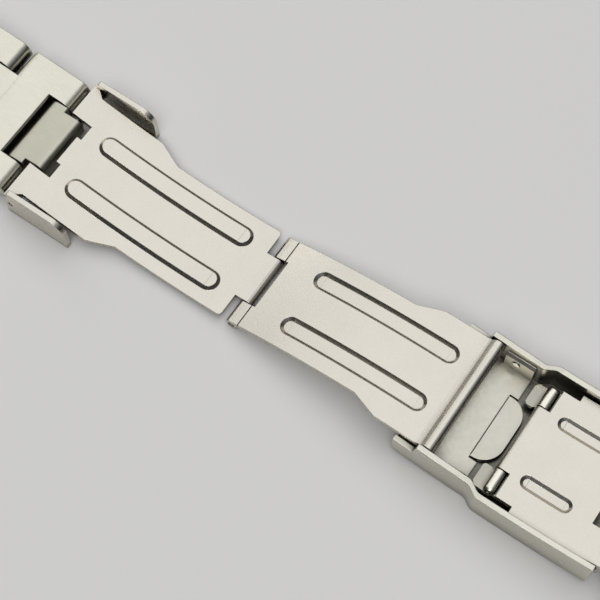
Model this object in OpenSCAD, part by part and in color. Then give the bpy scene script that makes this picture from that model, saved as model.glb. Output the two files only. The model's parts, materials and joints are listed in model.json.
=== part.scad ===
// Steel watch bracelet with a fold-over clasp, opened out and lying with its wrist side up.
// X runs along the bracelet, Y across it and Z up. The floor is at z = 0.
// The clasp parts are drawn as they nest when shut, on arcs about one centre, and then unfolded.

/* [Clasp] */
// Width over the wide part of the cover
clasp_w = 20.8; // [20.7:0.05:21.4]
// Thickness of the pressed sheet
sheet_t = 0.8; // [0.7:0.02:0.82]
// Radius of the rim of the cover, which follows the wrist
wrist_r = 95; // [92:1:98]
// Length of the cover
cover_len = 29.25; // [29:0.05:29.6]
// Depth of the cover from its rim to its outer face
cover_depth = 6; // [5.8:0.05:6.4]
// Thickness of the side walls of the cover
wall_t = 0.75; // [0.65:0.01:0.8]
// Distance from the cover's hinge to the hinge between the blades
blade_reach = 31.7; // [31.2:0.1:32.2]
// Angle through which the middle blade folds to shut
fold_angle = 183.7; // [183:0.1:184]
// Angle through which the inner blade folds on the middle blade
return_angle = 191; // [190.6:0.1:191.4]

/* [Blades] */
// Width of the narrow part of both blades
blade_w = 14.6; // [14.4:0.1:15]
// Width of the wide part of the inner blade
inner_wide_w = 17.8; // [17.4:0.1:18]
// Width of the pressed ribs
rib_w = 3.1; // [2.9:0.05:3.2]
// Height of the pressed ribs
rib_h = 0.5; // [0.35:0.05:0.55]
// Distance of the rib centre lines from the middle of a blade
rib_y = 3.88; // [3.8:0.02:4]
// Depth of the side fins below the face of the inner blade
fin_h = 4.9; // [4.8:0.02:4.92]
// Length from the blade's end to the far end of the side fins
fin_len = 10.1; // [9.6:0.1:10.1]
// Outer diameter of the rolled knuckles
knuckle_d = 1.75; // [1.7:0.01:1.8]
// Diameter of the hinge pins in the knuckles
hinge_pin_d = 0.9; // [0.8:0.02:0.94]
// Outer diameter of the rolled tube at the cover
tube_d = 1.9; // [1.84:0.01:1.94]
// Diameter of the hinge pin in the cover
cover_pin_d = 1; // [0.9:0.02:1.06]

/* [Links] */
// Width of the links
link_w = 19.3; // [19:0.1:19.4]
// Distance between the two pins of a link
link_pitch = 10.3; // [10:0.1:11]
// Thickness of the links
link_t = 3.5; // [3.3:0.05:3.5]
// Width of the notch between the ears of a link
notch_w = 10.7; // [10.6:0.02:10.9]
// Width of the tongue that turns in the notch
tongue_w = 10.3; // [9.9:0.05:10.35]
// Diameter of the link pins
link_pin_d = 1.2; // [1:0.05:1.3]
// Width of the end links, which sit between the lugs of the watch case
end_w = 19.8; // [19.4:0.1:19.9]

/* [Spring bars] */
// Outer diameter of the spring bar tubes
bar_d = 1.3; // [1.26:0.02:1.34]
// Bore of the spring bar tubes
bar_bore = 0.92; // [0.9:0.01:0.96]
// Diameter of the noses that enter the lugs and fins
nose_d = 0.7; // [0.64:0.02:0.74]
// Length of a nose that stands out beyond an end link
nose_out = 1; // [0.7:0.05:1.1]

/* [Hidden] */

steel = [0.86, 0.84, 0.80];
dull_steel = [0.70, 0.69, 0.66];
pin_steel = [0.78, 0.78, 0.76];
round_fn = 64;
arc_fn = 180;
eps = 0.01;
tuck = 0.04;
end_trim = 0.02;
run_on = 0.2;

// Clearances
fit_gap = 0.05;      // round a shaft that turns or slides
set_gap = 0.01;      // round a shaft that is fixed in its hole
layer_gap = 0.15;    // between nested layers of the shut clasp
side_gap = 0.15;     // between the ends of neighbouring knuckles

// Nested layers, as depths below the rim of the cover, measured towards the outside of the wrist
plate_top = 1.55;
plate_low = plate_top + sheet_t;
middle_low = 0.45;
middle_top = middle_low - sheet_t;
inner_low = middle_top - layer_gap;
inner_top = inner_low - sheet_t;
floor_t = sheet_t;
front_rise = 0.35;
front_drop = 2.1;

// Hinge axes of the clasp, as radii about the common centre
centre_z = wrist_r + cover_depth;
tube_r = wrist_r + middle_top + tube_d / 2;
fold_r = wrist_r + inner_low + layer_gap / 2;

// Places along the cover, measured from its hinge
hinge_from_front = 4.5;
wall_from_hinge = 1;
hinge_x = hinge_from_front - cover_len / 2;
cover_front = -cover_len / 2;
cover_rear = cover_len / 2;
wall_front = hinge_x - wall_from_hinge;
lip_slope = 0.6;
jog_start = hinge_x + 6.3;
jog_end = jog_start + 2.1;
jog_steps = 8;
ramp_x = [jog_start - 1.6, jog_end + 0.8];
front_w = clasp_w - 1.8;
front_half = front_w / 2;
cover_half = clasp_w / 2;

blend_r = 1.8;
blend_bite = 0.05;
hinge_a = asin(hinge_x / tube_r);
hinge_at = [hinge_x, centre_z - tube_r * cos(hinge_a)];
reach_a = acos((tube_r * tube_r + fold_r * fold_r - blade_reach * blade_reach) / (2 * tube_r * fold_r));
fold_a = hinge_a + reach_a;
fold_at = [fold_r * sin(fold_a), centre_z - fold_r * cos(fold_a)];

// Plan of the blades, shut. The tabs reach past the cover's hinge, so that the end centre link clears it.
tab_reach = 3.85;
tab_x = hinge_x - tab_reach;
cut_half = 4.72;
cut_len = 3.3;
cut_step = 0.7;
cut_step_half = 2.3;
tab_join = 0.8;
relief_len = 1.15;
inner_half = inner_wide_w / 2;
inner_taper_x = [tab_x + 12.35, tab_x + 16.1];
inner_end_x = fold_at[0] - 1.9;
middle_half = front_half - wall_t - layer_gap;
middle_taper_x = [hinge_x + 8.07, hinge_x + 11.8];
middle_end_x = fold_at[0] - 1.6;
blade_half = blade_w / 2;
centre_knuckle = 7.44;
rib_from_tab = 5.45;
rib_from_end = 2.4;
rib_from_tube = 3.25;
middle_rib_from_end = 4.45;
inner_rib_x = [tab_x + rib_from_tab, inner_end_x - rib_from_end];
middle_rib_x = [hinge_x + rib_from_tube, middle_end_x - middle_rib_from_end];
rib_slope = 0.45;
hollow_w = rib_w - 0.4;
rib_nest = 0.4;
slot_nest = 0.3;
end_corner_r = 0.6;
slit_x = middle_end_x + 0.42;
slit_w = 0.14;
slit_depth = 0.4;

// Places of the unfolded blades
function turned(p, a) = [p[0] * cos(a) + p[1] * sin(a), -p[0] * sin(a) + p[1] * cos(a)];
function turned_about(p, c, a) = c + turned(p - c, a);
fold_open = turned_about(fold_at, hinge_at, -fold_angle);
inner_turn = return_angle - fold_angle;
function inner_open(p) = fold_open + turned(p - fold_at, inner_turn);
tab_top_shut = [tab_x, centre_z - sqrt(pow(wrist_r + inner_top, 2) - tab_x * tab_x)];
tab_top = inner_open(tab_top_shut);

// Side fins
fin_t = wall_t;
fin_outer = cover_half + 0.15;
fin_inner = fin_outer - fin_t;
fin_rise = 0.85;
fin_start = 0.4;
fin_front = -0.15;
fin_shoulder = 0.4;
fin_corner_r = 0.45;
fin_round = 2.4;
fin_lip_w = 0.22;
fin_lip_h = 0.9;
fin_lip_root = 0.1;
fin_lip_x = [2.2, fin_len - 0.45];
tab_half = fin_outer - 0.15;
bar_inset = 0.75;
bar_below = 2.2;
fin_bar_at = [tab_top[0] + bar_inset, tab_top[1] - bar_below];

// Bracket in the cover
bracket_t = 0.7;
bracket_x = [hinge_x + 1.4, hinge_x + 5.7];
bracket_floor_x = hinge_x - 0.6;
cheek_t = 0.45;
cheek_top = middle_low + 0.2;
cheek_outer = front_half - wall_t - 0.05;
bracket_floor_low = cover_depth - floor_t - 0.02;
tab_fold_x = hinge_x + 4.45;
tab_fold_half = 4.85;
tab_out = 3.4;
tab_root = 0.2;
tab_corner_r = 2.9;
tab_slit = 0.25;
tab_bend = 9;
crease = 0.1;
cheek_slant = 1.3;
rivet_x = hinge_x + 3.1;
rivet_depth = 2.4;
rivet_d = 1;

// Extension, stowed in the cover
front_axis_x = hinge_x + 9;
front_axis_r = wrist_r + plate_top + knuckle_d / 2;
rear_axis_x = cover_rear - 3.6;
rear_axis_r = wrist_r + 3.7;
function on_arc(x, r) = [x, centre_z - sqrt(r * r - x * x)];
front_axis = on_arc(front_axis_x, front_axis_r);
rear_axis = on_arc(rear_axis_x, rear_axis_r);
arm_y = [5.05, 8.2];
arm_narrow_y = 6;
arm_end_cone = 0.3;
lip_reach = 2.5;
lip_y = [4.8, arm_y[1] - tuck];
lip_t = 0.7;
lip_root = 0.25;
lip_drop = knuckle_d / 2 - 0.075;
bridge_x = [0.9, 2.3];
plate_corner_x = front_axis_x + 1.1;
plate_step_x = front_axis_x + 3.5;
plate_taper_x = cover_rear - 2.95;
plate_end_x = cover_rear + 0.7;
plate_cut_len = 3.65;
plate_neck_half = 8.35;
plate_half = cover_half - wall_t - 0.35;
plate_end_half = plate_half - 0.25;
plate_slot_x = [front_axis_x + 2.5, cover_rear - 6.05];
plate_slot_y = 4.6;
plate_slot_w = 2;
plate_slot_h = 0.35;
plate_ear_x = cover_rear - 2.15;
plate_ear_drop = 3.3;
plate_ear_inner = plate_end_half - fin_t;
plate_bar_below = 1.5;
plate_knuckle_half = arm_y[0] - side_gap;
plate_bar_x = plate_end_x - bar_inset;
plate_bar_at = on_arc(plate_bar_x, wrist_r + plate_top + plate_bar_below);

// Links
link_round = link_t / 2;
tongue_t = link_t - 0.2;
tongue_end = tongue_t / 2;
notch_floor = link_round + 0.2;
shoulder_len = link_pitch - link_round - 0.6;
centre_pitch = 3.5;
centre_step = 1.9;
centre_narrow_w = 8.7;
centre_end = 1.1;
centre_corner_r = 1;
case_pitch = 6.6;
link_bore = link_pin_d + 2 * fit_gap;
link_set = link_pin_d + 2 * set_gap;
bar_fit = bar_d + 2 * fit_gap;
nose_fit = nose_d + 2 * fit_gap;

// Slopes of the links away from the clasp: end centre link, five links and case link
left_slope = [-4, 5, 4, -3, -7, -3, 0];
right_slope = [-10, -8, -1.2, 0, 0, 0, 0];
link_steps = [centre_pitch, link_pitch, link_pitch, link_pitch, link_pitch, link_pitch, case_pitch];
function pin_at(side, base, slope, n) =
    n == 0 ? base
    : pin_at(side, base, slope, n - 1)
        + link_steps[n - 1] * [side * cos(slope[n - 1]), sin(slope[n - 1])];
function left_pin(n) = pin_at(-1, fin_bar_at, left_slope, n);
function right_pin(n) = pin_at(1, plate_bar_at, right_slope, n);

// Spring bars
plunger_d = bar_bore - 2 * fit_gap;
plunger_len = 3.6;
tip_travel = 1.1;
tip_cone = 0.6;
spring_wire = 0.15;
spring_d = 0.7;
spring_turns = 14;
fin_bar_half = fin_inner - 0.3;
plate_bar_half = plate_ear_inner - 0.05;
case_bar_half = end_w / 2 - 0.3;
tip_root = 0.05;
fin_nose = fin_outer - 0.1;
plate_nose = plate_end_half + 0.3;

// Middle of the whole bracelet along X, so that the origin lies below its centre
left_extent = left_pin(7)[0] - link_round;
right_extent = right_pin(7)[0] + link_round;
shift_x = -(left_extent + right_extent) / 2;

module at(p) translate([p[0], 0, p[1]]) children();

module turn_about(p, a) at(p) rotate([0, a, 0]) translate([-p[0], 0, -p[1]]) children();

module placed() translate([shift_x, 0, 0]) children();

// A cylinder along Y, centred on y = 0
module cross_rod(d, len) rotate([90, 0, 0]) cylinder(d = d, h = len, center = true, $fn = round_fn);

// A cylinder along Y between two distances on one side
module side_rod(d, y0, y1) {
    translate([0, (y0 + y1) / 2, 0]) cross_rod(d, abs(y1 - y0));
}

// A solid turned about Y from an outline of radius and distance along Y
module turned_y(outline) rotate([-90, 0, 0]) rotate_extrude($fn = round_fn) polygon(outline);

module both_sides() {
    children();
    mirror([0, 1, 0]) children();
}

// A side outline drawn in X and Z, given a width across
module across(w) rotate([90, 0, 0]) linear_extrude(height = w, center = true) children();

// The same between two distances on one side
module across_between(y0, y1) {
    translate([0, (y0 + y1) / 2, 0]) across(abs(y1 - y0)) children();
}

// A curved slab between two depths below the rim
module layer(top, low) {
    translate([0, 0, centre_z]) rotate([90, 0, 0]) difference() {
        cylinder(r = wrist_r + low, h = 2 * clasp_w, center = true, $fn = arc_fn);
        cylinder(r = wrist_r + top, h = 3 * clasp_w, center = true, $fn = arc_fn);
    }
}

// Straight up through the clasp from a plan outline
module plan_cut() translate([0, 0, -1]) linear_extrude(height = centre_z / 2) children();

// A sheet part: the slab between two depths, cut to a plan outline
module sheet(top, low) intersection() {
    layer(top, low);
    plan_cut() children();
}

module box_plan(x0, x1, half) translate([x0, -half]) square([x1 - x0, 2 * half]);

// Two ribs along the arc, at equal distances from the middle, with sloping sides and round ends.
// They run between two depths, d, and half holds their half-widths at those depths.
module ribs(x, y, w, d, half) {
    a = [asin((x[0] + w / 2) / wrist_r), asin((x[1] - w / 2) / wrist_r)];
    grow = (half[1] - half[0]) / (d[1] - d[0]);
    for (s = [-1, 1]) at([0, centre_z]) {
        rotate([90, 0, 0]) rotate([0, 0, a[0] - 90]) rotate_extrude(angle = a[1] - a[0], $fn = arc_fn)
            polygon([
                [wrist_r + d[0], s * y - half[0]], [wrist_r + d[0], s * y + half[0]],
                [wrist_r + d[1], s * y + half[1]], [wrist_r + d[1], s * y - half[1]]
            ]);
        for (turn = a) rotate([0, -turn, 0]) translate([0, s * y, -(wrist_r + d[1] - end_trim)]) cylinder(
            h = d[1] - d[0] - 2 * end_trim, r1 = half[1] - grow * end_trim - eps,
            r2 = half[0] + grow * end_trim - eps, $fn = round_fn);
    }
}

// Ribs that rise or sink by h from a face. Their slope runs on by run_on behind the face.
module ribs_up(x, y, w, face, h) {
    ribs(x, y, w, [face - h, face + run_on], [w / 2 - rib_slope, w / 2 + rib_slope * run_on / h]);
}

module ribs_down(x, y, w, face, h) {
    ribs(x, y, w, [face - run_on, face + h], [w / 2 + rib_slope * run_on / h, w / 2 - rib_slope]);
}

// The far edge of the cover's plan, less a distance in, with the smooth jog that widens the cover
function cover_edge(past, in) = concat(
    [[cover_front - past, front_half - in]],
    [for (n = [0:jog_steps]) [
        jog_start + n / jog_steps * (jog_end - jog_start),
        front_half - in + (cover_half - front_half) * (1 - cos(180 * n / jog_steps)) / 2
    ]],
    [[cover_rear + past, cover_half - in]]
);

module cover_plan(past, in) both_sides() polygon(concat(
    cover_edge(past, in), [[cover_rear + past, -eps], [cover_front - past, -eps]]
));

module cover_wall_plan() difference() {
    cover_plan(0, 0);
    cover_plan(1, wall_t);
}

// Side view of what lies above the front lips
module above_lip() {
    rim_z = centre_z - wrist_r;
    polygon([
        [cover_front - 1, 2 * rim_z + 6], [cover_front - 1, rim_z - front_drop + 1.15],
        [wall_front - lip_slope, rim_z - front_drop + 0.65], [wall_front, rim_z + 1.6],
        [wall_front, 2 * rim_z + 6]
    ]);
}

// Side view of what lies above the slope from the higher front part of the rim to its rear part
module above_ramp() {
    high = on_arc(ramp_x[0], wrist_r - front_rise);
    low = on_arc(ramp_x[1], wrist_r + tuck);
    polygon([high, low, low + [0.1, 0], low + [0.1, 3], high + [0, 3]]);
}

module cover_shell() color(steel) placed() difference() {
    union() {
        sheet(cover_depth - floor_t, cover_depth) cover_plan(0, 0);
        difference() {
            sheet(-front_rise, cover_depth) intersection() {
                cover_wall_plan();
                box_plan(cover_front, ramp_x[1], clasp_w);
            }
            across(2 * clasp_w) above_lip();
            across(2 * clasp_w) above_ramp();
        }
        sheet(0, cover_depth) intersection() {
            cover_wall_plan();
            box_plan(ramp_x[0], cover_rear, clasp_w);
        }
    }
    at(hinge_at) cross_rod(cover_pin_d + 2 * set_gap, 2 * clasp_w);
    at(rear_axis) cross_rod(hinge_pin_d + 2 * set_gap, 2 * clasp_w);
    at(on_arc(rivet_x, wrist_r + rivet_depth)) cross_rod(rivet_d + 2 * set_gap, 2 * clasp_w);
}

// The floor of the bracket with its two cheeks, and the half-round tab bent up from its end
module hinge_bracket() color(dull_steel) placed() difference() {
    union() {
        sheet(bracket_floor_low - bracket_t, bracket_floor_low) difference() {
            box_plan(bracket_floor_x, bracket_x[1], cheek_outer);
            box_plan(tab_fold_x, bracket_x[1] + 1, tab_fold_half + tab_slit);
        }
        both_sides() difference() {
            sheet(cheek_top, bracket_floor_low) translate([bracket_x[0], cheek_outer - cheek_t])
                square([bracket_x[1] - bracket_x[0], cheek_t]);
            cheek_slope();
        }
        half_round_tab();
    }
    at(on_arc(rivet_x, wrist_r + rivet_depth)) cross_rod(rivet_d + 2 * set_gap, 2 * clasp_w);
    at(on_arc(tab_fold_x, wrist_r + bracket_floor_low - bracket_t)) rotate([0, 45, 0])
        cube([crease, 2 * tab_fold_half - 0.3, crease], center = true);
}

// Cuts the top of a cheek so that it slopes inwards
module cheek_slope() {
    top = on_arc(bracket_x[1], wrist_r + cheek_top)[1];
    translate([bracket_x[0] - 1, 0, 0]) rotate([90, 0, 90])
        linear_extrude(height = bracket_x[1] - bracket_x[0] + 2) polygon([
            [cheek_outer + 0.1, top], [cheek_outer - cheek_t - 0.1, top - cheek_slant * cheek_t],
            [cheek_outer - cheek_t - 0.1, top + 2], [cheek_outer + 0.1, top + 2]
        ]);
}

module half_round_tab() {
    at(on_arc(tab_fold_x, wrist_r + bracket_floor_low - tuck)) rotate([0, -tab_bend, 0])
        linear_extrude(height = bracket_t) intersection() {
            box_plan(-tab_root, tab_out, tab_fold_half);
            union() {
                box_plan(-tab_root, tab_out - tab_corner_r, tab_fold_half);
                box_plan(-tab_root, tab_out, tab_fold_half - tab_corner_r);
                for (s = [-1, 1]) translate([tab_out - tab_corner_r, s * (tab_fold_half - tab_corner_r)])
                    circle(r = tab_corner_r, $fn = round_fn);
            }
        }
}

module bracket_rivets() color(pin_steel) placed() at(on_arc(rivet_x, wrist_r + rivet_depth)) both_sides() {
    side_rod(rivet_d, cheek_outer - cheek_t - 0.15, front_half);
}

module cover_hinge_pin() color(pin_steel) placed() at(hinge_at) cross_rod(cover_pin_d, front_w);

module middle_plan() {
    polygon([
        [hinge_x, -middle_half], [middle_taper_x[0], -middle_half], [middle_taper_x[1], -blade_half],
        [middle_end_x, -blade_half], [middle_end_x, blade_half], [middle_taper_x[1], blade_half],
        [middle_taper_x[0], middle_half], [hinge_x, middle_half]
    ]);
    for (s = [-1, 1]) {
        y0 = centre_knuckle / 2 + side_gap;
        translate([middle_end_x - eps, s > 0 ? y0 : -blade_half])
            square([fold_at[0] - middle_end_x + eps, blade_half - y0]);
    }
}

module unfold_middle() turn_about(hinge_at, -fold_angle) children();

// The hollow where the sheet rolls into the tube, from the middle of the tube
module tube_blend() {
    face = middle_top + tube_d / 2 - middle_low;
    centre = [sqrt(pow(tube_d / 2 + blend_r, 2) - pow(blend_r - face, 2)), face - blend_r + blend_bite];
    at(hinge_at) rotate([0, -hinge_a, 0]) across(2 * (middle_half - tuck)) difference() {
        polygon([[0, 0], centre, [centre[0], face + sheet_t / 2], [0, face + sheet_t / 2]]);
        translate(centre) circle(r = blend_r, $fn = round_fn);
    }
}

// The lines where the rolled ends of the outer knuckles meet the face of the middle blade
module knuckle_slits() {
    sheet(middle_low - slit_depth, middle_low + 1) both_sides()
        translate([slit_x, centre_knuckle / 2]) square([slit_w, blade_half]);
}

module middle_blade() color(steel) placed() unfold_middle() difference() {
    union() {
        sheet(middle_top, middle_low) middle_plan();
        ribs_up(middle_rib_x, rib_y, rib_w - 2 * rib_nest, middle_top, rib_h);
        at(hinge_at) cross_rod(tube_d, 2 * middle_half);
        tube_blend();
        at(fold_at) both_sides() side_rod(knuckle_d, centre_knuckle / 2 + side_gap, blade_half);
    }
    ribs_up(middle_rib_x, rib_y, hollow_w, middle_low, rib_h);
    knuckle_slits();
    at(hinge_at) cross_rod(cover_pin_d + 2 * fit_gap, 2 * clasp_w);
    at(fold_at) cross_rod(hinge_pin_d + 2 * set_gap, 2 * clasp_w);
}

module blade_hinge_pin() color(pin_steel) placed() unfold_middle() {
    at(fold_at) cross_rod(hinge_pin_d, blade_w - 0.2);
}

// A quarter turn of radius r about c, for the round corner of a plan
function quarter(c, r, a) = [for (n = [0:4]) c + r * [cos(a + 22.5 * n), sin(a + 22.5 * n)]];

module inner_plan() difference() {
    union() {
        polygon([
            [tab_x, -tab_half], [tab_x + tab_join, -tab_half], [tab_x + tab_join, -fin_inner - eps],
            [tab_x + tab_join + relief_len, -inner_half],
            [inner_taper_x[0], -inner_half], [inner_taper_x[1], -blade_half],
            each quarter([inner_end_x - end_corner_r, end_corner_r - blade_half], end_corner_r, -90),
            each quarter([inner_end_x - end_corner_r, blade_half - end_corner_r], end_corner_r, 0),
            [inner_taper_x[1], blade_half],
            [inner_taper_x[0], inner_half], [tab_x + tab_join + relief_len, inner_half],
            [tab_x + tab_join, fin_inner + eps], [tab_x + tab_join, tab_half], [tab_x, tab_half]
        ]);
        box_plan(inner_end_x - eps, fold_at[0], centre_knuckle / 2);
    }
    difference() {
        box_plan(tab_x - 1, tab_x + cut_len, cut_half);
        box_plan(tab_x + cut_len - cut_step, tab_x + cut_len + 1, cut_step_half);
    }
}

module unfold_inner() unfold_middle() turn_about(fold_at, return_angle) children();

// Side view of a fin, level when the clasp lies open. x = 0 is the end of the blade and z = 0 its face.
module fin_outline() {
    r = fin_corner_r;
    back = fin_len - fin_round;
    translate([fin_front + r, -fin_h]) square([fin_len - fin_front - r, fin_h + fin_rise - fin_round]);
    translate([fin_front, r - fin_h]) square([fin_len - fin_front, fin_h - fin_round]);
    translate([fin_front, -fin_round]) square([back - fin_front, fin_round - r - fin_shoulder]);
    translate([fin_front + r, -fin_round]) square([back - fin_front - r, fin_round - fin_shoulder]);
    translate([fin_start, -fin_round]) square([back - fin_start, fin_round + fin_rise - r]);
    translate([fin_start + r, -fin_round]) square([back - fin_start - r, fin_round + fin_rise]);
    for (p = [[fin_front + r, r - fin_h], [fin_front + r, -fin_shoulder - r], [fin_start + r, fin_rise - r]])
        translate(p) circle(r = r, $fn = round_fn);
    translate([back, fin_rise - fin_round]) circle(r = fin_round, $fn = round_fn);
}

// The lip along the foot of a fin, turned inwards
module fin_lip() {
    edge = fin_inner - fin_lip_w;
    root = fin_inner + fin_lip_root;
    translate([fin_lip_x[0], 0, -fin_h]) rotate([90, 0, 90])
        linear_extrude(height = fin_lip_x[1] - fin_lip_x[0]) polygon([
            [root, fin_lip_root], [edge + fin_lip_root, fin_lip_root], [edge, 2 * fin_lip_root],
            [edge, fin_lip_h - fin_lip_w], [root, fin_lip_h + fin_lip_root]
        ]);
}

module inner_blade() color(steel) placed() difference() {
    union() {
        unfold_inner() difference() {
            union() {
                sheet(inner_top, inner_low) inner_plan();
                ribs_up(inner_rib_x, rib_y, rib_w, inner_top, rib_h);
                at(fold_at) cross_rod(knuckle_d, centre_knuckle);
            }
            ribs_up(inner_rib_x, rib_y, hollow_w, inner_low, rib_h);
            at(fold_at) cross_rod(hinge_pin_d + 2 * fit_gap, 2 * clasp_w);
        }
        at(tab_top) both_sides() {
            across_between(fin_inner, fin_outer) fin_outline();
            fin_lip();
        }
    }
    at(fin_bar_at) cross_rod(nose_fit, 2 * clasp_w);
}

// The two arms that carry the extension plate, joined by a bridge under it
module extension_arms() color(dull_steel) placed() {
    arm_run = rear_axis - front_axis;
    arm_len = norm(arm_run);
    offset_r = (knuckle_d - sheet_t) / 2 - tuck;
    lean = asin(2 * offset_r / arm_len);
    arm_a = -atan2(arm_run[1], arm_run[0]) - lean;
    difference() {
        union() {
            at(front_axis) both_sides() arm_knuckle(arm_y[0]);
            at(rear_axis) both_sides() arm_knuckle(arm_narrow_y);
            at(front_axis) rotate([0, arm_a, 0]) {
                translate([0, 0, tuck - knuckle_d / 2]) linear_extrude(height = sheet_t) {
                    arm_plan(arm_len * cos(lean));
                    mirror([0, 1]) arm_plan(arm_len * cos(lean));
                    box_plan(bridge_x[0], bridge_x[1], arm_y[0] + 0.5);
                }
                both_sides() translate([0, 0, -lip_drop - lip_t]) linear_extrude(height = lip_t) lip_plan();
            }
        }
        at(front_axis) cross_rod(hinge_pin_d + 2 * set_gap, 2 * clasp_w);
        at(rear_axis) cross_rod(hinge_pin_d + 2 * fit_gap, 2 * clasp_w);
    }
}

// A rolled knuckle of an arm, with a sloping outer end
module arm_knuckle(y0) {
    r = knuckle_d / 2;
    y1 = arm_y[1];
    turned_y([[0, y0], [r, y0], [r, y1 - arm_end_cone], [r - arm_end_cone / 2, y1], [0, y1]]);
}

module arm_plan(len) polygon([
    [0, arm_y[0]], [bridge_x[1], arm_y[0]], [bridge_x[1], arm_narrow_y], [len, arm_narrow_y],
    [len, arm_y[1] - tuck], [0, arm_y[1] - tuck]
]);

// The lip that runs forward under a knuckle, low enough to pass over the plate when the arms turn back
module lip_plan() polygon([
    [-lip_reach, lip_y[0] + 0.3], [-lip_reach + 0.3, lip_y[0]], [-knuckle_d / 2 - 0.5, lip_y[0]],
    [-knuckle_d / 2, arm_y[0] + tuck], [lip_root, arm_y[0] + tuck], [lip_root, lip_y[1]],
    [-lip_reach + 0.5, lip_y[1]], [-lip_reach, lip_y[1] - 0.5]
]);

module extension_rear_pin() color(pin_steel) placed() at(rear_axis) cross_rod(hinge_pin_d, clasp_w);

module extension_front_pin() color(pin_steel) placed() {
    at(front_axis) cross_rod(hinge_pin_d, 2 * arm_y[1] - 0.2);
}

module extension_plan() difference() {
    union() {
        box_plan(front_axis[0], plate_corner_x + eps, plate_knuckle_half);
        box_plan(plate_corner_x, plate_step_x + eps, plate_neck_half);
        polygon([
            [plate_step_x, -plate_half], [plate_taper_x, -plate_half], [plate_end_x, -plate_end_half],
            [plate_end_x, plate_end_half], [plate_taper_x, plate_half], [plate_step_x, plate_half]
        ]);
    }
    box_plan(plate_end_x - plate_cut_len, plate_end_x + 1, cut_half);
}

module extension_plate() color(steel) placed() difference() {
    union() {
        sheet(plate_top, plate_low) extension_plan();
        ribs_down(plate_slot_x, plate_slot_y, plate_slot_w - slot_nest, plate_low, plate_slot_h);
        at(front_axis) cross_rod(knuckle_d, 2 * plate_knuckle_half);
        both_sides() sheet(plate_top, plate_top + plate_ear_drop)
            translate([plate_ear_x, plate_ear_inner]) square([plate_end_x - plate_ear_x, fin_t]);
    }
    ribs_down(plate_slot_x, plate_slot_y, plate_slot_w, plate_top, plate_slot_h);
    at(front_axis) cross_rod(hinge_pin_d + 2 * fit_gap, 2 * clasp_w);
    at(plate_bar_at) cross_rod(nose_fit, 2 * clasp_w);
}

// Spring bars
module bar_tube(half) difference() {
    cross_rod(bar_d, 2 * half);
    cross_rod(bar_bore, 2 * half + 1);
}

// One tip: a plunger in the tube, a cone that ends at root, and the nose beyond it
module bar_tip(half, root, nose) turned_y([
    [0, half - plunger_len], [plunger_d / 2, half - plunger_len], [plunger_d / 2, root - tip_cone],
    [nose_d / 2, root], [nose_d / 2, nose], [0, nose]
]);

// A round wire wound in a helix along Y, closed at both ends
module bar_spring(half) {
    len = 2 * (half - plunger_len - tip_travel - spring_wire);
    steps = 8;
    count = spring_turns * steps;
    sides = 6;
    radius = (spring_d - spring_wire) / 2;
    ring = [for (i = [0:count], k = [0:sides - 1])
        let (a = 360 * i / steps, b = 360 * k / sides, r = radius + spring_wire / 2 * cos(b))
        [r * cos(a), len * (i / count - 0.5) + spring_wire / 2 * sin(b), r * sin(a)]];
    walls = [for (i = [0:count - 1], k = [0:sides - 1])
        let (a = i * sides, n = (k + 1) % sides) each [
            [a + k, a + n, a + sides + n], [a + k, a + sides + n, a + sides + k]]];
    first = [for (k = [0:sides - 1]) sides - 1 - k];
    last = [for (k = [0:sides - 1]) count * sides + k];
    polyhedron(ring, concat(walls, [first, last]), convexity = 4);
}

// Outline of a link in X and Z, from x0 to x1, with corner radii r0 and r1 at its ends
module bar_outline(x0, x1, t, r0, r1) {
    translate([x0 + r0, -t / 2]) square([x1 - r1 - x0 - r0, t]);
    translate([x0, r0 - t / 2]) square([r0 + eps, t - 2 * r0 + eps]);
    translate([x1 - r1 - eps, r1 - t / 2]) square([r1 + eps, t - 2 * r1 + eps]);
    for (s = [-1, 1]) {
        translate([x0 + r0, s * (t / 2 - r0)]) circle(r = r0, $fn = round_fn);
        translate([x1 - r1, s * (t / 2 - r1)]) circle(r = r1, $fn = round_fn);
    }
}

// Ears with the notch between them, from their round end to the floor of the notch
module link_ears(w) {
    both_sides() across_between(notch_w / 2, w / 2)
        bar_outline(-link_round, notch_floor + 1, link_t, link_round - eps, 0.1);
}

module strip_link() color(steel) difference() {
    union() {
        link_ears(link_w);
        across(link_w) bar_outline(notch_floor, shoulder_len, link_t, 0.4, 1.2);
        across(tongue_w)
            bar_outline(notch_floor + 1, link_pitch + tongue_end, tongue_t, 0.1, tongue_end - eps);
    }
    cross_rod(link_set, 2 * link_w);
    translate([link_pitch, 0, 0]) cross_rod(link_bore, 2 * link_w);
}

module link_pin(w) color(pin_steel) cross_rod(link_pin_d, w);

// The piece between the clasp and the first link: the spring bar passes through its narrow end
module end_centre() color(steel) difference() {
    union() {
        across(centre_narrow_w)
            bar_outline(-centre_end, centre_step + 1, tongue_t, centre_corner_r, 0.1);
        across(tongue_w)
            bar_outline(centre_step, centre_pitch + tongue_end, tongue_t, 0.2, tongue_end - eps);
    }
    cross_rod(bar_fit, 2 * link_w);
    translate([centre_pitch, 0, 0]) cross_rod(link_bore, 2 * link_w);
}

// The last link, whose far end carries the spring bar for the lugs of the watch case
module case_link() color(steel) difference() {
    union() {
        link_ears(end_w);
        across(end_w) bar_outline(notch_floor, case_pitch + link_round, link_t, 0.4, link_round - eps);
    }
    cross_rod(link_set, 2 * link_w);
    translate([case_pitch, 0, 0]) cross_rod(bar_fit, 2 * link_w);
}

// Places a strip piece: side is -1 for the left strip and 1 for the right one, n counts from the clasp
module on_strip(side, n) placed() {
    p = side < 0 ? left_pin(n) : right_pin(n);
    slope = side < 0 ? left_slope[n] : right_slope[n];
    at(p) rotate([0, -side * slope, 0]) rotate([0, 0, side < 0 ? 180 : 0]) children();
}

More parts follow.
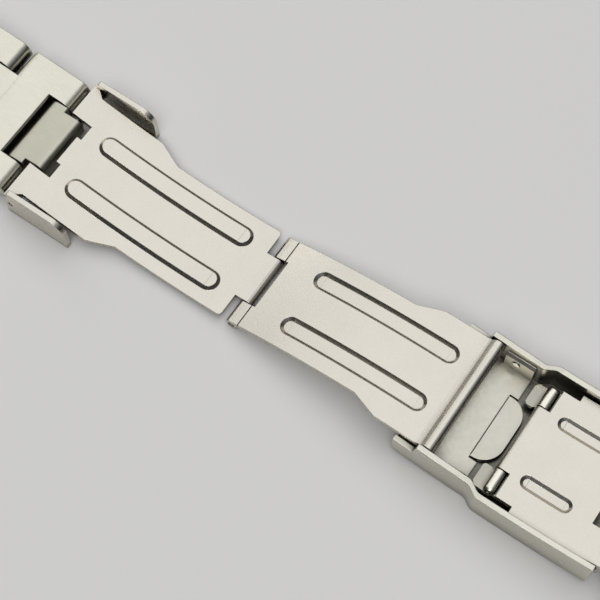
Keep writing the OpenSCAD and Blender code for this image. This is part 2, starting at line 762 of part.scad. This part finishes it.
// Places a case spring bar at the far hole of the last link of a strip
module on_case(side) on_strip(side, 6) translate([case_pitch, 0, 0]) children();

module on_fin() placed() at(fin_bar_at) children();

module on_plate() placed() at(plate_bar_at) children();

module near() mirror([0, 1, 0]) children();

cover_shell();
hinge_bracket();
bracket_rivets();
cover_hinge_pin();
middle_blade();
blade_hinge_pin();
inner_blade();
extension_arms();
extension_rear_pin();
extension_front_pin();
extension_plate();

color(pin_steel) on_fin() bar_tube(fin_bar_half);  // fin_bar_tube
color(pin_steel) on_fin() bar_spring(fin_bar_half);  // fin_bar_spring
color(pin_steel) on_fin() bar_tip(fin_bar_half, fin_inner - tip_root, fin_nose);  // fin_bar_tip_far
color(pin_steel) on_fin() near() bar_tip(fin_bar_half, fin_inner - tip_root, fin_nose);  // fin_bar_tip_near
color(pin_steel) on_plate() bar_tube(plate_bar_half);  // plate_bar_tube
color(pin_steel) on_plate() bar_spring(plate_bar_half);  // plate_bar_spring
color(pin_steel) on_plate() bar_tip(plate_bar_half, plate_ear_inner - tip_root, plate_nose);  // plate_bar_tip_far
color(pin_steel) on_plate() near() bar_tip(plate_bar_half, plate_ear_inner - tip_root, plate_nose);  // plate_bar_tip_near

on_strip(-1, 0) end_centre();  // left_end_centre
on_strip(-1, 1) strip_link();  // left_link_1
on_strip(-1, 1) link_pin(link_w);  // left_pin_1
on_strip(-1, 2) strip_link();  // left_link_2
on_strip(-1, 2) link_pin(link_w);  // left_pin_2
on_strip(-1, 3) strip_link();  // left_link_3
on_strip(-1, 3) link_pin(link_w);  // left_pin_3
on_strip(-1, 4) strip_link();  // left_link_4
on_strip(-1, 4) link_pin(link_w);  // left_pin_4
on_strip(-1, 5) strip_link();  // left_link_5
on_strip(-1, 5) link_pin(link_w);  // left_pin_5
on_strip(-1, 6) case_link();  // left_case_link
on_strip(-1, 6) link_pin(end_w);  // left_case_pin
color(pin_steel) on_case(-1) bar_tube(case_bar_half);  // left_bar_tube
color(pin_steel) on_case(-1) bar_spring(case_bar_half);  // left_bar_spring
color(pin_steel) on_case(-1) near() bar_tip(case_bar_half, end_w / 2, end_w / 2 + nose_out);  // left_bar_tip_far
color(pin_steel) on_case(-1) bar_tip(case_bar_half, end_w / 2, end_w / 2 + nose_out);  // left_bar_tip_near

on_strip(1, 0) end_centre();  // right_end_centre
on_strip(1, 1) strip_link();  // right_link_1
on_strip(1, 1) link_pin(link_w);  // right_pin_1
on_strip(1, 2) strip_link();  // right_link_2
on_strip(1, 2) link_pin(link_w);  // right_pin_2
on_strip(1, 3) strip_link();  // right_link_3
on_strip(1, 3) link_pin(link_w);  // right_pin_3
on_strip(1, 4) strip_link();  // right_link_4
on_strip(1, 4) link_pin(link_w);  // right_pin_4
on_strip(1, 5) strip_link();  // right_link_5
on_strip(1, 5) link_pin(link_w);  // right_pin_5
on_strip(1, 6) case_link();  // right_case_link
on_strip(1, 6) link_pin(end_w);  // right_case_pin
color(pin_steel) on_case(1) bar_tube(case_bar_half);  // right_bar_tube
color(pin_steel) on_case(1) bar_spring(case_bar_half);  // right_bar_spring
color(pin_steel) on_case(1) bar_tip(case_bar_half, end_w / 2, end_w / 2 + nose_out);  // right_bar_tip_far
color(pin_steel) on_case(1) near() bar_tip(case_bar_half, end_w / 2, end_w / 2 + nose_out);  // right_bar_tip_near
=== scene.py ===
import json
import math

import bpy
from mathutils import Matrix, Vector

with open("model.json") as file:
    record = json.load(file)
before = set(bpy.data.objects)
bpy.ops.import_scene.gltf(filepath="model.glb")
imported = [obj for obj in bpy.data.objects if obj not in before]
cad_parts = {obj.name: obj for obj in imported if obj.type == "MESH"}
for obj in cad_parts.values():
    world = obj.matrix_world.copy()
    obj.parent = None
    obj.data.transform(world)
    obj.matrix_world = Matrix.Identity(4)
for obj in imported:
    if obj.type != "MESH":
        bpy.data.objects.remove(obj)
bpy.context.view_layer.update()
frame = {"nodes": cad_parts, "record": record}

MM = 0.001

# Camera: the photograph's angle, worked out from the clasp's own sizes. Turn and rise are in degrees
CAMERA_TURN = 34.5
CAMERA_RISE = 67.8
CAMERA_AWAY = 200 * MM
CAMERA_AIM = Vector((-4.76, 0.1, 3)) * MM
CAMERA_NEAR = 10 * MM
LENS = 90.7
SENSOR = 36

# Clouds of tone that polishing leaves on all the steel, by their size in mm
CLOUD = 4
# For each kind of mark on the steel: how many finer sizes it holds, and how strong these are
STREAK_DETAIL, STREAK_FINE = 3.0, 0.6
CLOUD_DETAIL, CLOUD_FINE = 3.0, 0.55
SPECK_DETAIL, SPECK_FINE = 2.0, 0.6
# The streaks' values at which the steel is smoothest and roughest, and how much of the bump shows
STREAK_LOW, STREAK_HIGH = 0.3, 0.7
BUMP_STRENGTH = 0.6

# Painted shade: gaps and corners are painted towards a near-black tone, the more the closer in they are. A
# place that is as closed in as GAP_DEEP holds the share of that tone given below, and one as open as
# GAP_OPEN holds none
PAINTED_SHADE_TONE = "#24221e"
GAP_DEEP, GAP_OPEN = 0.3, 0.85
SHADE_MOST = 0.85
GAP_RAYS, CORNER_RAYS = 8, 6

# The X in mm where the lips of the arms meet their knuckles, the mm over which the tone changes on
# each side of it, and how much painted shade the lips get
LIP_END = 28.7
LIP_FADE = 0.2
LIP_SHADE_SHARE = 0.5

# The places of a Mix node's two colour inputs and of its colour output
MIX_FIRST, MIX_SECOND, MIX_RESULT = 6, 7, 2

# The floor, with its size in metres
FLOOR_SIZE = 3.0
FLOOR_TONE = "#f0eeea"
FLOOR_ROUGHNESS = 0.9

# The studio round the floor. Height goes from 0, level, to 1, straight up
WALL_TOP, CEILING_EDGE = 0.4, 0.9
WALL_LIGHT, CEILING_LIGHT = 0.02, 0.5
CEILING_TONE = "#f4f8ff"


def colour(code):
    """Turns an sRGB hex code to linear colour."""
    parts = [int(code[i:i + 2], 16) / 255 for i in (1, 3, 5)]
    return [p / 12.92 if p <= 0.04045 else ((p + 0.055) / 1.055) ** 2.4 for p in parts] + [1.0]


def add(tree, kind, links=None, **settings):
    """Adds a node, sets its sockets and properties, and links sources to its inputs."""
    made = tree.nodes.new(kind)
    for name, value in settings.items():
        if hasattr(made, name):
            setattr(made, name, value)
        else:
            made.inputs[name.replace("_", " ")].default_value = value
    for socket, source in (links or {}).items():
        tree.links.new(source, made.inputs[socket])
    return made


def mix(tree, share, first, second):
    """Mixes two colours, each a value or another node's output, and gives the node's output."""
    made = add(tree, "ShaderNodeMix", {"Factor": share}, data_type="RGBA")
    for socket, source in ((MIX_FIRST, first), (MIX_SECOND, second)):
        if isinstance(source, list):
            made.inputs[socket].default_value = source
        else:
            tree.links.new(source, made.inputs[socket])
    return made.outputs[MIX_RESULT]


def metal(name, base, shade, roughness, spread, lines, grain, depth, edge, shade_reach, painted_shade_below=None):
    """A stainless finish, with its sizes in mm. base and shade are the tones of its clouds, and
    spread is how far its roughness goes above and below the middle. lines is how many streaks a
    millimetre holds along X, Y and Z, grain the specks' size, and depth the bump of both. edge is
    the rounding of every corner. The second last argument is how far painted shade reaches into gaps
    and corners, and the last is the X below which the steel is painted darker with that shade."""
    material = bpy.data.materials.new(name)
    material.use_nodes = True
    tree = material.node_tree
    tree.nodes.clear()
    place = add(tree, "ShaderNodeTexCoord").outputs["Object"]
    marks = add(tree, "ShaderNodeMapping", {"Vector": place}, Scale=[n / MM for n in lines])
    streak = add(tree, "ShaderNodeTexNoise", {"Vector": marks.outputs["Vector"]},
                 Scale=1.0, Detail=STREAK_DETAIL, Roughness=STREAK_FINE)
    cloud = add(tree, "ShaderNodeTexNoise", {"Vector": place},
                Scale=1 / (CLOUD * MM), Detail=CLOUD_DETAIL, Roughness=CLOUD_FINE)
    speck = add(tree, "ShaderNodeTexNoise", {"Vector": place},
                Scale=1 / (grain * MM), Detail=SPECK_DETAIL, Roughness=SPECK_FINE)
    tone = mix(tree, cloud.outputs["Fac"], colour(base), colour(shade))
    # Painted shade: the base colour is darkened towards a near-black tone where ambient occlusion finds gaps
    # and corners
    gap = add(tree, "ShaderNodeAmbientOcclusion", samples=GAP_RAYS, Distance=shade_reach * MM)
    shade_share = add(tree, "ShaderNodeMapRange", {"Value": gap.outputs["AO"]}, interpolation_type="SMOOTHSTEP",
               From_Min=GAP_DEEP, From_Max=GAP_OPEN, To_Min=SHADE_MOST, To_Max=0.0)
    shaded = mix(tree, shade_share.outputs["Result"], tone, colour(PAINTED_SHADE_TONE))
    # Painted shade: below the given X, part of that near-black tone is mixed in as well
    if painted_shade_below is not None:
        along = add(tree, "ShaderNodeSeparateXYZ", {"Vector": place}).outputs["X"]
        lip_shade = add(tree, "ShaderNodeMapRange", {"Value": along}, From_Min=(painted_shade_below - LIP_FADE) * MM,
                   From_Max=(painted_shade_below + LIP_FADE) * MM, To_Min=LIP_SHADE_SHARE, To_Max=0.0)
        shaded = mix(tree, lip_shade.outputs["Result"], shaded, colour(PAINTED_SHADE_TONE))
    rough = add(tree, "ShaderNodeMapRange", {"Value": streak.outputs["Fac"]},
                From_Min=STREAK_LOW, From_Max=STREAK_HIGH,
                To_Min=roughness - spread, To_Max=roughness + spread)
    both = add(tree, "ShaderNodeMath", {0: streak.outputs["Fac"], 1: speck.outputs["Fac"]}, operation="ADD")
    corner = add(tree, "ShaderNodeBevel", samples=CORNER_RAYS, Radius=edge * MM)
    bump = add(tree, "ShaderNodeBump", {"Height": both.outputs[0], "Normal": corner.outputs["Normal"]},
               Strength=BUMP_STRENGTH, Distance=depth * MM)
    shader = add(tree, "ShaderNodeBsdfPrincipled", {
        "Base Color": shaded,
        "Roughness": rough.outputs["Result"],
        "Normal": bump.outputs["Normal"],
    }, Metallic=1.0)
    add(tree, "ShaderNodeOutputMaterial", {"Surface": shader.outputs["BSDF"]})
    return material


# Brushing, turning and tumbling leave marks of about 0.05 mm on such steel, under half a pixel of
# the render. All the streaks and specks below are drawn coarser than that, so that they show.

# Stainless sheet, cold rolled and tumbled: an even, warm white satin with a fine grain
satin_sheet = metal(
    "cold_rolled_stainless_satin", base="#d3cdc1", shade="#cbc5b9", roughness=0.27, spread=0.03,
    lines=(3, 3, 3), grain=0.18, depth=0.0008, edge=0.1, shade_reach=1.8)
# Stainless links and cover, brushed along the bracelet: long fine lines on a cooler white. The
# cover has deeper painted shade in its channel
BRUSHED = dict(base="#d6d3c5", shade="#cbc8ba", roughness=0.30, spread=0.05,
               lines=(0.35, 7, 7), grain=0.3, depth=0.0025, edge=0.16)
brushed_links = metal("brushed_stainless_links", shade_reach=1.8, **BRUSHED)
brushed_cover = metal("brushed_stainless_cover", shade_reach=5, **BRUSHED)
# Stainless centre pieces, machined from bar: a little darker and cooler than the links beside them
milled_centre = metal(
    "machined_stainless_centre", base="#c1beae", shade="#b3b0a0", roughness=0.31, spread=0.05,
    lines=(0.5, 6, 6), grain=0.3, depth=0.0025, edge=0.2, shade_reach=1.8)
# Stainless sheet left as pressed: duller, with a soft mottle, and painted shade reaching far into its
# corners
pressed_sheet = metal(
    "pressed_stainless_sheet", base="#cdc9bc", shade="#bfbbae", roughness=0.33, spread=0.05,
    lines=(2, 2, 2), grain=0.25, depth=0.003, edge=0.12, shade_reach=4)
# Stainless arms, rolled from sheet round their pins: a brighter tone, which is a painted highlight on the
# knuckles, with painted shade over the lips
rolled_arms = metal(
    "rolled_stainless_arms", base="#ebe6d8", shade="#dfdacb", roughness=0.26, spread=0.04,
    lines=(2, 4, 2), grain=0.2, depth=0.001, edge=0.12, shade_reach=1.2, painted_shade_below=LIP_END)
# Turned stainless pins and tubes: bright, with fine rings round them
turned_pins = metal(
    "turned_stainless_pins", base="#dedcd6", shade="#cfccc5", roughness=0.20, spread=0.04,
    lines=(1, 8, 1), grain=0.3, depth=0.003, edge=0.08, shade_reach=1.2)
# Drawn spring wire: bright and smooth
spring_wire = metal(
    "drawn_spring_wire", base="#c4c3bf", shade="#b3b1ab", roughness=0.25, spread=0.04,
    lines=(2, 2, 2), grain=0.2, depth=0.002, edge=0.02, shade_reach=0.6)

# A piece takes the finish of its slot. The centre pieces at the clasp and the arms have their own
FINISHES = {
    "satin_sheet": satin_sheet,
    "brushed_cover": brushed_cover,
    "brushed_links": brushed_links,
    "pressed_sheet": pressed_sheet,
    "turned_pins": turned_pins,
    "spring_wire": spring_wire,
}
for part in frame["record"]["subparts"]:
    piece = frame["nodes"][part["node"]]
    piece.data.materials.clear()
    finish = FINISHES[part["material_slot"]]
    if part["node"].endswith("_end_centre"):
        finish = milled_centre
    if part["node"] == "extension_arms":
        finish = rolled_arms
    piece.data.materials.append(finish)

# The floor: matt pale paper, which gives the eye nothing but the object's shadow
paper = bpy.data.materials.new("matt_pale_paper")
paper.use_nodes = True
paper_shader = paper.node_tree.nodes["Principled BSDF"]
paper_shader.inputs["Base Color"].default_value = colour(FLOOR_TONE)
paper_shader.inputs["Roughness"].default_value = FLOOR_ROUGHNESS
bpy.ops.mesh.primitive_plane_add(size=FLOOR_SIZE, location=(0, 0, 0))
floor = bpy.context.object
floor.name = "floor"
floor.data.materials.append(paper)


def towards(turn, rise):
    """The direction from the object at this turn and rise in degrees."""
    a, e = math.radians(turn), math.radians(rise)
    return Vector((math.sin(a) * math.cos(e), -math.cos(a) * math.cos(e), math.sin(e)))


def look(thing, spot):
    """Turns a lamp or camera to face a spot."""
    thing.rotation_euler = (spot - thing.location).to_track_quat("-Z", "Y").to_euler()


def lamp(name, turn, rise, away, size, power):
    """A soft square lamp aimed at the object, with its distance and size in metres."""
    light = bpy.data.lights.new(name, "AREA")
    light.size = size
    light.energy = power
    thing = bpy.data.objects.new(name, light)
    thing.location = CAMERA_AIM + away * towards(turn, rise)
    look(thing, CAMERA_AIM)
    bpy.context.collection.objects.link(thing)


lamp("soft_overhead", turn=207, rise=66, away=1.0, size=1.1, power=2.9)
lamp("soft_back_left", turn=246, rise=26, away=1.0, size=0.6, power=1.1)
lamp("soft_front", turn=20, rise=62, away=1.2, size=0.6, power=3.4)

# A lit ceiling over dark walls, so that steep faces and sloping edges turn dark as in the photo
world = bpy.data.worlds.new("studio")
bpy.context.scene.world = world
world.use_nodes = True
tree = world.node_tree
tree.nodes.clear()
height = add(tree, "ShaderNodeSeparateXYZ", {"Vector": add(tree, "ShaderNodeTexCoord").outputs["Generated"]})
level = add(tree, "ShaderNodeMapRange", {"Value": height.outputs["Z"]}, interpolation_type="SMOOTHSTEP",
            From_Min=WALL_TOP, From_Max=CEILING_EDGE, To_Min=WALL_LIGHT, To_Max=CEILING_LIGHT)
glow = add(tree, "ShaderNodeBackground", {"Strength": level.outputs["Result"]}, Color=colour(CEILING_TONE))
add(tree, "ShaderNodeOutputWorld", {"Surface": glow.outputs["Background"]})

camera = bpy.data.objects.new("camera", bpy.data.cameras.new("camera"))
camera.location = CAMERA_AIM + CAMERA_AWAY * towards(CAMERA_TURN, CAMERA_RISE)
look(camera, CAMERA_AIM)
camera.data.lens = LENS
camera.data.sensor_width = SENSOR
camera.data.clip_start = CAMERA_NEAR
bpy.context.collection.objects.link(camera)
bpy.context.scene.camera = camera
bpy.context.scene.view_settings.view_transform = "Standard"
